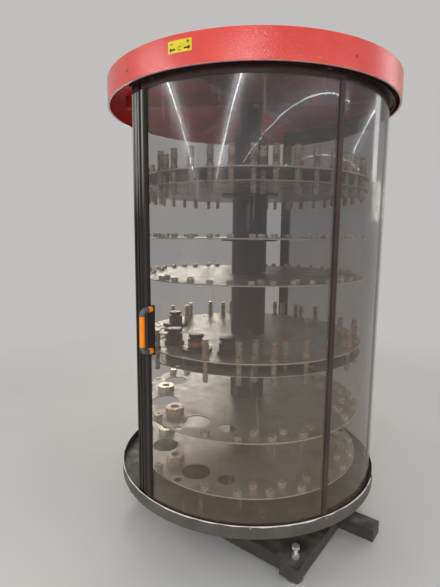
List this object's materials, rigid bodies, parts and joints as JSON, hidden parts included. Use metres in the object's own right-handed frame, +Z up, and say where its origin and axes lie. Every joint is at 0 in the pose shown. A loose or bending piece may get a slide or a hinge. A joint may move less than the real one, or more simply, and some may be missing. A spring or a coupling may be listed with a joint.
{
  "type": "punch press tool storage tower",
  "caption": "Round tool tower of a turret punch press: shelves of punches and dies turn on a drum behind smoked sheets, one of them a sliding door.",
  "frame": {"origin": "on the floor, under the axis of the mast", "axes": "+Z up along the mast, -Y the front, away from the press, +X to the right seen from the front"},
  "size_m": [1.588, 1.56, 2.465],
  "materials": {
    "base_paint": "worn satin paint, dusty",
    "galvanised": "dull zinc",
    "dark_steel": "satin",
    "black_profile": "satin black",
    "bearing_bronze": "turned",
    "crown_red": "orange-peel gloss",
    "post_aluminium": "anodised",
    "strip_dark": "satin",
    "seal_rubber": "matt",
    "smoked_sheet": "glossy smoked, fine scratches",
    "motor_grey": "painted",
    "shelf_steel": "ground, oiled",
    "punch_bronze": "oiled tool steel, bronze tinge",
    "holder_dark": "blackened",
    "die_steel": "ground",
    "handle_grey": "moulded",
    "handle_orange": "moulded, satin",
    "roller_nylon": "natural"
  },
  "bodies": {
    "frame": {"cross_beams": "base_paint", "side_beams": "base_paint", "outrigger_beam": "base_paint", "beam_end_caps": "base_paint", "foot_pads": "galvanised", "levelling_bolts": "galvanised", "locknuts": "galvanised", "pedestal": "base_paint", "base_ring": "base_paint", "deck_plate": "base_paint", "door_track": "dark_steel", "panel_sill": "black_profile", "mast": "dark_steel", "bearing_race": "dark_steel", "upper_bearing": "bearing_bronze", "spider_arms": "dark_steel", "spider_hub": "dark_steel", "upper_rail": "black_profile", "crown": "crown_red", "cover_posts": "post_aluminium", "post_brackets": "black_profile", "post_seal": "seal_rubber", "centre_panel": "smoked_sheet", "right_panel": "smoked_sheet", "panel_joint": "black_profile", "drive_gearmotor": "motor_grey"},
    "carousel": {"ring_gear": "dark_steel", "drum_base": "dark_steel", "drum_tube": "dark_steel", "shelf_collars": "dark_steel", "shelf_spacers": "shelf_steel", "punch_plate_a": "shelf_steel", "guide_plate_a": "shelf_steel", "die_plate_a": "shelf_steel", "die_plate_b": "shelf_steel", "punch_plate_b": "shelf_steel", "guide_plate_b": "shelf_steel", "die_plate_c": "shelf_steel", "die_plate_d": "shelf_steel", "punches_a": "punch_bronze", "punches_b": "punch_bronze", "large_punches": "holder_dark", "small_dies": "die_steel", "medium_dies": "die_steel", "large_dies": "die_steel"},
    "door": {"door_sheet": "smoked_sheet", "door_bottom_rail": "black_profile", "door_top_rail": "black_profile", "door_stile": "post_aluminium", "door_liner": "black_profile", "door_strip": "strip_dark", "handle_elbows": "handle_grey", "handle_grip": "handle_orange", "handle_caps": "handle_orange", "roller_mounts": "galvanised"},
    "pinion": {"drive_pinion": "dark_steel"},
    "wheel_a": {"bottom_roller_a": "roller_nylon"},
    "wheel_b": {"bottom_roller_b": "roller_nylon"},
    "guide_a": {"top_roller_a": "roller_nylon"},
    "guide_b": {"top_roller_b": "roller_nylon"}
  },
  "joints": [
    {"name": "carousel_spin", "type": "hinge", "parent": "frame", "child": "carousel", "pos_m": [0, 0, 0.36], "axis": [0, 0, 1], "continuous": true},
    {"name": "pinion_spin", "type": "hinge", "parent": "frame", "child": "pinion", "pos_m": [0.21213, 0.21213, 0.36], "axis": [0, 0, 1], "continuous": true},
    {"name": "door_slide", "type": "hinge", "parent": "frame", "child": "door", "pos_m": [0, 0, 0.36], "axis": [0, 0, 1], "range_deg": [0, 72]},
    {"name": "wheel_a_spin", "type": "hinge", "parent": "door", "child": "wheel_a", "pos_m": [-0.73464, 0.02309, 0.3553], "axis": [-0.9995, 0.0314, 0], "continuous": true},
    {"name": "guide_a_spin", "type": "hinge", "parent": "door", "child": "guide_a", "pos_m": [-0.73684, 0.02316, 2.348], "axis": [0, 0, 1], "continuous": true},
    {"name": "wheel_b_spin", "type": "hinge", "parent": "door", "child": "wheel_b", "pos_m": [-0.38513, -0.62602, 0.3553], "axis": [-0.524, -0.8517, 0], "continuous": true},
    {"name": "guide_b_spin", "type": "hinge", "parent": "door", "child": "guide_b", "pos_m": [-0.38628, -0.62789, 2.348], "axis": [0, 0, 1], "continuous": true}
  ],
  "couplings": [
    {"joint": "pinion_spin", "follows": "carousel_spin", "ratio": -4},
    {"joint": "wheel_a_spin", "follows": "door_slide", "ratio": -66.818},
    {"joint": "guide_a_spin", "follows": "door_slide", "ratio": -99.333},
    {"joint": "wheel_b_spin", "follows": "door_slide", "ratio": -66.818},
    {"joint": "guide_b_spin", "follows": "door_slide", "ratio": -99.333}
  ]
}
